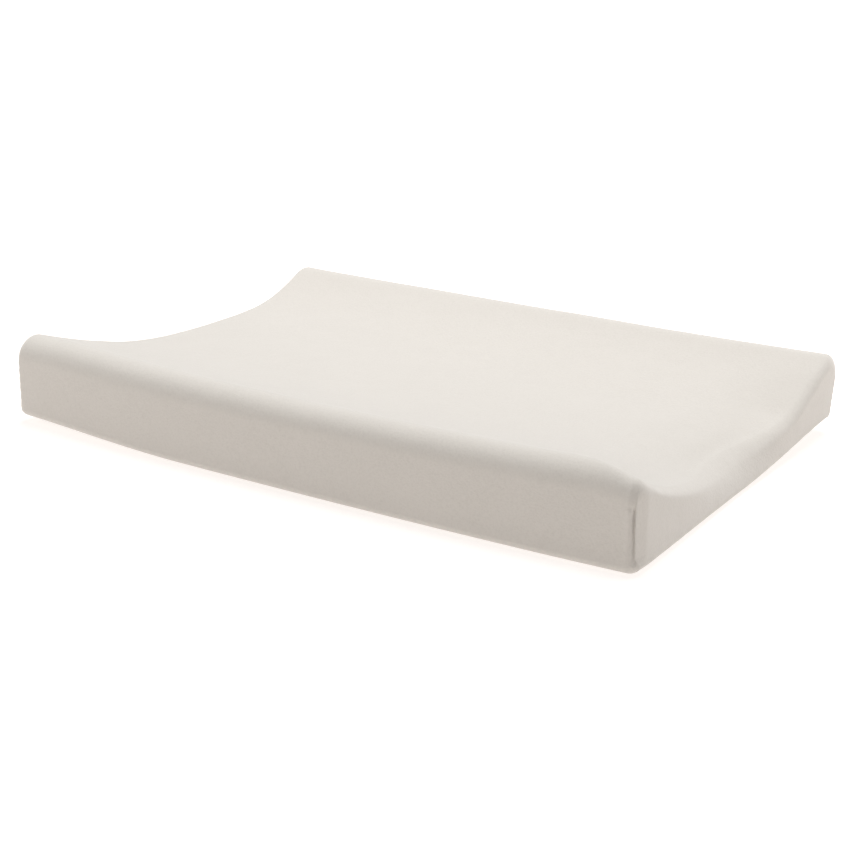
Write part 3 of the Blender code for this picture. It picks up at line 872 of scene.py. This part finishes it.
# the topstitching's distance outside the slot, along it and across it
TOPSTITCH_MARGIN = (0.0025, 0.0022)
FOAM_LIFT = 0.0015
FOAM_EDGE = 0.006
GROOVE_DEPTH = 0.0046


def wall_levels(top_z, bottom_z, *stops):
    """Shares of the way down a wall, so that some levels lie exactly at the given heights."""
    heights = [top_z, *stops, bottom_z]
    levels = []
    for above, below in zip(heights, heights[1:]):
        count = max(1, round((above - below) / WALL_SPACING))
        levels.extend(np.linspace(above, below, count + 1)[1:])
    return (top_z - np.array(levels)) / (top_z - bottom_z)


def pad_shell(inset, foot_z):
    """The shape of a layer of the pad itself, with levels at the zip slot's edges."""
    bottom_z = foot_z + FOOT_RADIUS - inset
    levels = wall_levels(HEIGHT - RIM_RADIUS, bottom_z, ZIP_Z + SLOT_HALF_HEIGHT, ZIP_Z - SLOT_HALF_HEIGHT)
    return Shell(inset, LINER_PLAN_RADIUS, foot_z - inset, levels, 0)


def pad_shaped(plain):
    """As shaped(), but the part of the back wall that holds the straight zip stays plain."""
    x, y, z = plain.T
    keep = smooth_step(0.29, 0.25, np.abs(x)) * smooth_step(0.026, 0.014, np.abs(z - ZIP_Z))
    keep *= smooth_step(0.42, 0.48, y / WIDTH)
    return plain + (shaped(plain) - plain) * (1.0 - keep[:, None])


def underside(shell, inset, edge_inset, lift):
    """The shell's top grid laid out over the pad's underside: a raised band round a flat middle."""
    points = shell.points[: shell.grid.size].copy()
    points[:, 0] *= (HALF_X - edge_inset) / (HALF_X - inset)
    points[:, 1] *= (HALF_Y - edge_inset) / (HALF_Y - inset)
    corner = corner_radius_at(CASING_INSET)
    beyond_x = np.maximum(np.abs(points[:, 0]) - (HALF_X - RAMP_INSET - corner), 0.0)
    beyond_y = np.maximum(np.abs(points[:, 1]) - (HALF_Y - RAMP_INSET - corner), 0.0)
    from_edge = RAMP_INSET + corner - np.hypot(beyond_x, beyond_y)
    points[:, 2] = lift + BAND_Z * smooth_step(RAMP_INSET + RAMP_WIDTH, RAMP_INSET, from_edge)
    return shaped(points)


def wall_heights(points, shell):
    """The length of cloth down the wall, at each place round it."""
    down = points[np.array([shell.ring(number) for number in range(shell.rings + 1)])]
    return np.linalg.norm(np.diff(down, axis=0), axis=2).sum(axis=0)


def make_liner():
    """Six panels of coated cloth, sewn along the rims, the ends' edges, the corners and the foot."""
    material = coated_cloth()
    shell = pad_shell(LINER_INSET, BAND_Z)
    points = pad_shaped(shell.points)
    faces = np.concatenate([shell.top_faces(), shell.wall_faces()])
    normals = normals_of(points, faces)
    inward = 0.0002 * (1.0 + slow_noise(points, 0.022, 4.0))
    edge = points[shell.ring(0)]
    phase = 2 * math.pi * along_of(edge) / LINER_PUCKER_PITCH
    puckers = PUCKER_DEPTH * (1.0 + np.sin(phase + 2.0 * slow_noise(edge, 0.03)))
    inward[shell.ring(0)] = SEAM_PINCH
    inward[shell.ring(1)] = puckers
    inward[shell.ring(shell.rings)] = SEAM_PINCH
    inward[shell.ring(shell.rings - 2)] += puckers
    points = points - normals * inward[:, None]
    base = underside(shell, LINER_INSET, FOOT_RADIUS, 0.0)

    heights = wall_heights(points, shell)
    make_panel("top", points, shell.top_faces(), material)
    make_panel("base", base, shell.top_faces()[:, ::-1], material)
    for side, places in shell.side_places().items():
        panel = shell.wall_faces(places)
        if side == "back":
            middle = points[panel].mean(axis=1)
            in_slot = np.abs(middle[:, 0]) < SLOT_HALF_LENGTH
            in_slot &= np.abs(middle[:, 2] - ZIP_Z) < SLOT_HALF_HEIGHT
            panel = panel[~in_slot]
        flat = (heights[places].max(), along_of(points[shell.ring(0)][places])[-1])
        make_panel(side, points, panel, material)
    make_liner_threads(shell, points, normals)


def make_panel(side, points, faces, material):
    """One sewn panel of the liner."""
    panel = mesh_object(f"liner_{side}_cloth", *only_used(points, faces), material)
    thicken(panel, LINER_THICK)
    link(panel, "pad", "liner", f"liner_{side}_panel")


def make_liner_threads(shell, points, normals):
    """Seam threads in the valleys between the panels, and the topstitching round the zip's slot."""
    material = liner_thread()
    for edge, number in (("top", 0), ("base", shell.rings)):
        ring = shell.ring(number)
        seam = stitches(points[ring], normals[ring], SEAM_STITCH_PITCH)
        made = mesh_object(f"{edge}_seam_stitches", *seam, material)
        link(made, "pad", "liner_thread", f"liner_{edge}_seam_thread")
    reach_x = SLOT_HALF_LENGTH + TOPSTITCH_MARGIN[0]
    reach_z = SLOT_HALF_HEIGHT + TOPSTITCH_MARGIN[1]
    around = np.array([(-reach_x, -reach_z), (reach_x, -reach_z), (reach_x, reach_z), (-reach_x, reach_z)])
    face_y = HALF_Y - LINER_INSET + 0.0001
    path = np.column_stack([around[:, 0], np.full(4, face_y), around[:, 1] + ZIP_Z])
    row = stitches(spaced(path, STITCH_PITCH), (0.0, 1.0, 0.0))
    made = mesh_object("zip_topstitching", *row, material)
    link(made, "pad", "liner_thread")


def make_foam():
    """The block of foam, with the groove that the zip presses into its back."""
    shell = pad_shell(FOAM_INSET, BAND_Z + FOAM_LIFT)
    points = pad_shaped(shell.points)
    faces = np.concatenate([shell.top_faces(), shell.wall_faces()])
    groove = smooth_step(0.250, 0.244, np.abs(points[:, 0]))
    groove = groove * smooth_step(0.016, 0.010, np.abs(points[:, 2] - ZIP_Z))
    points[:, 1] -= GROOVE_DEPTH * groove * (points[:, 1] > 0.47 * WIDTH)
    points -= normals_of(points, faces) * 0.0002 * (1.0 + slow_noise(points, 0.025, 6.0))[:, None]
    base = underside(shell, FOAM_INSET, FOOT_RADIUS + FOAM_EDGE, FOAM_LIFT)
    shift = len(points)
    foot, edge = shell.ring(shell.rings), shell.ring(0) + shift
    band = np.stack([foot, edge, np.roll(edge, -1), np.roll(foot, -1)], axis=-1)
    faces = np.concatenate([faces, band, shell.top_faces()[:, ::-1] + shift])
    foam = mesh_object("foam_block", np.concatenate([points, base]), faces, open_foam())
    link(foam, "pad", "foam", "foam_core")


# ---------------- the zip

COIL_PITCH = 0.0014
COIL_WIRE = 0.00032
# how far each row of heads reaches beyond its plain CAD strip, towards the other row
COIL_MESHING = 0.0007
TAPE_GAP = 0.0009
TAPE_THICK = 0.0005
CRIMP_SIDES = 24
CRIMP_DENT = 0.16
CRIMP_END = 0.72
PLATE_SIDES = 40
PLATE_EDGE = 0.00022
PLATE_THICK = 0.0007


def make_zip_tapes():
    """Two woven tapes, with the coils behind the narrow gap between them."""
    material = zip_tape()
    for side in ("upper", "lower"):
        low, high = node_box(f"zip_tape_{side}")
        if side == "upper":
            low[2] = ZIP_Z + TAPE_GAP / 2
        else:
            high[2] = ZIP_Z - TAPE_GAP / 2
        x = np.linspace(low[0], high[0], 241)
        rows = []
        for share in np.linspace(0.0, 1.0, 9):
            z = low[2] + (high[2] - low[2]) * share
            ripple = 0.00006 * np.sin(x * 2 * math.pi / 0.019 + 3.0 * share)
            rows.append(np.column_stack([x, (low[1] + high[1]) / 2 + ripple, np.full(len(x), z)]))
        points, faces = swept(rows, closed=False)
        tape = mesh_object(f"zip_tape_{side}_cloth", points, faces[:, ::-1], material)
        thicken(tape, TAPE_THICK, 0.0)
        link(tape, "pad", "zip_tape", f"zip_tape_{side}")


def make_zip_coils():
    """Each row of teeth: one flattened coil of nylon whose heads mesh with the other row's."""
    material = nylon_coil()
    for side, toward, phase in (("upper", -1, 0.0), ("lower", 1, math.pi)):
        low, high = node_box(f"zip_coil_{side}")
        turns = int((high[0] - low[0]) / COIL_PITCH) - 1
        angle = np.linspace(0.0, 2 * math.pi * turns, turns * 12 + 1)
        half_z = (high[2] - low[2] + COIL_MESHING) / 2 - COIL_WIRE
        half_y = (high[1] - low[1]) / 2 - COIL_WIRE
        centre = (low + high) / 2
        centre[2] += toward * COIL_MESHING / 2
        x = low[0] + COIL_WIRE + COIL_PITCH * (angle + phase) / (2 * math.pi)
        y = centre[1] + half_y * np.sin(angle)
        z = centre[2] + toward * half_z * np.cos(angle)
        coil = mesh_object(f"zip_coil_{side}_wire", *tube(np.column_stack([x, y, z]), COIL_WIRE), material)
        link(coil, "pad", "zip_coil", f"zip_coil_{side}")


def flattened(values, power):
    """Sines or cosines whose round curve is pressed towards a square."""
    return np.sign(values) * np.abs(values) ** power


def make_crimp(name, node, material):
    """A metal stop crimped round the tape: a rounded block with a pressed dent."""
    low, high = node_box(node)
    centre, half = (low + high) / 2, (high - low) / 2
    angle = np.linspace(0.0, 2 * math.pi, CRIMP_SIDES + 1)[:-1]
    corner = flattened(np.cos(angle), 0.5), flattened(np.sin(angle), 0.5)
    waist = np.cos(np.linspace(-math.pi, math.pi, 13)) ** 8
    shares = np.concatenate([[-1.0, -1.0], np.linspace(-1.0, 1.0, 13), [1.0, 1.0]])
    sizes = np.concatenate([[0.0, CRIMP_END], 1.0 - CRIMP_DENT * waist, [CRIMP_END, 0.0]])
    rings = []
    for share, size in zip(shares, sizes):
        ring = np.column_stack([np.full(CRIMP_SIDES, share), corner[0] * size, corner[1] * size])
        rings.append(centre + ring * half)
    stop = mesh_object(name, *swept(rings), material)
    link(stop, "pad", "zip_metal", node)


def slider_plate(half_length, half_width, low_y, high_y):
    """A slider's plate: broad where the open rows enter, narrower where the closed chain leaves."""
    angle = np.arange(PLATE_SIDES) * 2 * math.pi / PLATE_SIDES
    along = flattened(np.cos(angle), 0.7)
    across = flattened(np.sin(angle), 0.45)
    taper = 0.82 + 0.18 * along
    plan = np.column_stack([along * half_length, across * half_width * taper])
    rings = []
    for height, inset in (
        (low_y, half_width), (low_y, PLATE_EDGE), (low_y + PLATE_EDGE, 0.0),
        (high_y - PLATE_EDGE, 0.0), (high_y, PLATE_EDGE), (high_y, half_width),
    ):
        size = 1.0 - inset / half_width
        rings.append(np.column_stack([plan[:, 0] * size, np.full(PLATE_SIDES, height), plan[:, 1] * size]))
    return swept(rings)


def make_slider(material):
    """The zip's slider, with no pull tab: two plates, side flanges, a post between them and a low bar."""
    low, high = node_box("zip_slider")
    centre, half = (low + high) / 2, (high - low) / 2
    plate = PLATE_THICK
    back, front = -half[1], half[1] - 0.0004
    parts = [
        slider_plate(half[0], half[2], back, back + plate),
        slider_plate(half[0], half[2], front - plate, front),
        slider_plate(half[0] * 0.60, half[2] * 0.14, front - 0.0001, half[1]),
    ]
    post, faces = slider_plate(0.0011, 0.0004, back + plate * 0.5, front - plate * 0.5)
    parts.append((post + (half[0] * 0.62, 0.0, 0.0), faces))
    for side in (-1, 1):
        flange, faces = slider_plate(half[0] * 0.5, 0.0005, front - plate * 1.6, front - plate * 0.5)
        parts.append((flange + (-half[0] * 0.2, 0.0, side * (half[2] * 0.80 - 0.0005)), faces))
    points, faces = gathered(parts)
    slider = mesh_object("zip_slider_body", points + centre, faces[:, ::-1], material)
    link(slider, "zip_slider", "zip_metal", "zip_slider")


def make_zip():
    make_zip_tapes()
    make_zip_coils()
    metal = satin_metal()
    for node in ("zip_top_stop_upper", "zip_top_stop_lower", "zip_end_stop"):
        make_crimp(f"{node}_crimp", node, metal)
    make_slider(metal)


# ---------------- studio

VIEW_AZIMUTH = math.radians(30.05)
VIEW_ELEVATION = math.radians(16.98)
VIEW_ROLL = math.radians(2.852)
VIEW_DISTANCE = 1.6675
VIEW_TARGET = Vector((-0.01748, 0.00868, -0.00476))
VIEW_LENS = 66.4
NEAR_GLOW = 0.66
FAR_GLOW = 1.10


def make_camera():
    data = bpy.data.cameras.new("camera")
    data.lens = VIEW_LENS
    data.sensor_width = 36.0
    data.clip_start = 0.05
    data.clip_end = 50.0
    camera = bpy.data.objects.new("camera", data)
    out = math.cos(VIEW_ELEVATION)
    back = Vector((math.sin(VIEW_AZIMUTH) * out, -math.cos(VIEW_AZIMUTH) * out, math.sin(VIEW_ELEVATION)))
    turn = back.to_track_quat("Z", "Y").to_matrix() @ Matrix.Rotation(VIEW_ROLL, 3, "Z")
    camera.matrix_world = Matrix.Translation(VIEW_TARGET + back * VIEW_DISTANCE) @ turn.to_4x4()
    bpy.context.scene.collection.objects.link(camera)
    bpy.context.scene.camera = camera


def make_light(name, place, size, power):
    """A square soft light aimed at the pad."""
    data = bpy.data.lights.new(name, "AREA")
    data.shape = "SQUARE"
    data.size = size
    data.energy = power
    light = bpy.data.objects.new(name, data)
    light.location = place
    light.rotation_euler = (-Vector(place)).to_track_quat("-Z", "Y").to_euler()
    light.visible_camera = False
    bpy.context.scene.collection.objects.link(light)


def make_world():
    """Even white light, with a brighter white behind the floor."""
    world = bpy.data.worlds.new("studio")
    world.use_nodes = True
    bpy.context.scene.world = world
    tree = world.node_tree
    light = tree.nodes["Background"]
    seen = tree.nodes.new("ShaderNodeBackground")
    for node, strength in ((light, 0.34), (seen, 1.05)):
        node.inputs["Color"].default_value = (1.0, 1.0, 1.0, 1.0)
        node.inputs["Strength"].default_value = strength
    path = tree.nodes.new("ShaderNodeLightPath")
    mix = tree.nodes.new("ShaderNodeMixShader")
    tree.links.new(path.outputs["Is Camera Ray"], mix.inputs["Fac"])
    tree.links.new(light.outputs["Background"], mix.inputs[1])
    tree.links.new(seen.outputs["Background"], mix.inputs[2])
    tree.links.new(mix.outputs["Shader"], tree.nodes["World Output"].inputs["Surface"])


def make_floor():
    """A plain white floor that fades into the white behind it."""
    mesh = bpy.data.meshes.new("floor")
    grid = bmesh.new()
    bmesh.ops.create_grid(grid, x_segments=8, y_segments=8, size=12.0)
    grid.to_mesh(mesh)
    grid.free()
    paint = Paint("floor", 0.9, Base_Color=(0.46, 0.430, 0.410, 1.0), Specular_IOR_Level=0.1)
    paint.set(Emission_Color=(1.0, 0.970, 0.950, 1.0))
    nearness = paint.texture("ShaderNodeTexGradient", "Fac", paint.stretched((0.4, 0.4, 0.4)))
    nearness.node.gradient_type = "SPHERICAL"
    paint.wire(paint.range(nearness, FAR_GLOW, NEAR_GLOW), "Emission Strength")
    mesh.materials.append(paint.material)
    floor = bpy.data.objects.new("floor", mesh)
    floor.location.z = -0.0005
    bpy.context.scene.collection.objects.link(floor)


def make_studio():
    make_camera()
    make_world()
    make_floor()
    make_light("overhead", (-0.2, 0.5, 2.15), 1.8, 56.5)
    make_light("left", (-1.7, -1.3, 0.9), 0.9, 7.8)
    make_light("right", (1.2, 1.8, 0.9), 0.9, 3.2)
    make_light("low_right", (1.0, 0.60, 0.3), 0.4, 1.15)
    bpy.context.scene.view_settings.view_transform = "Standard"


make_studio()
make_foam()
make_liner()
make_zip()
make_cover()
make_skirt()
make_elastic()
make_hem_stitches()
make_corner_allowances()
make_label()
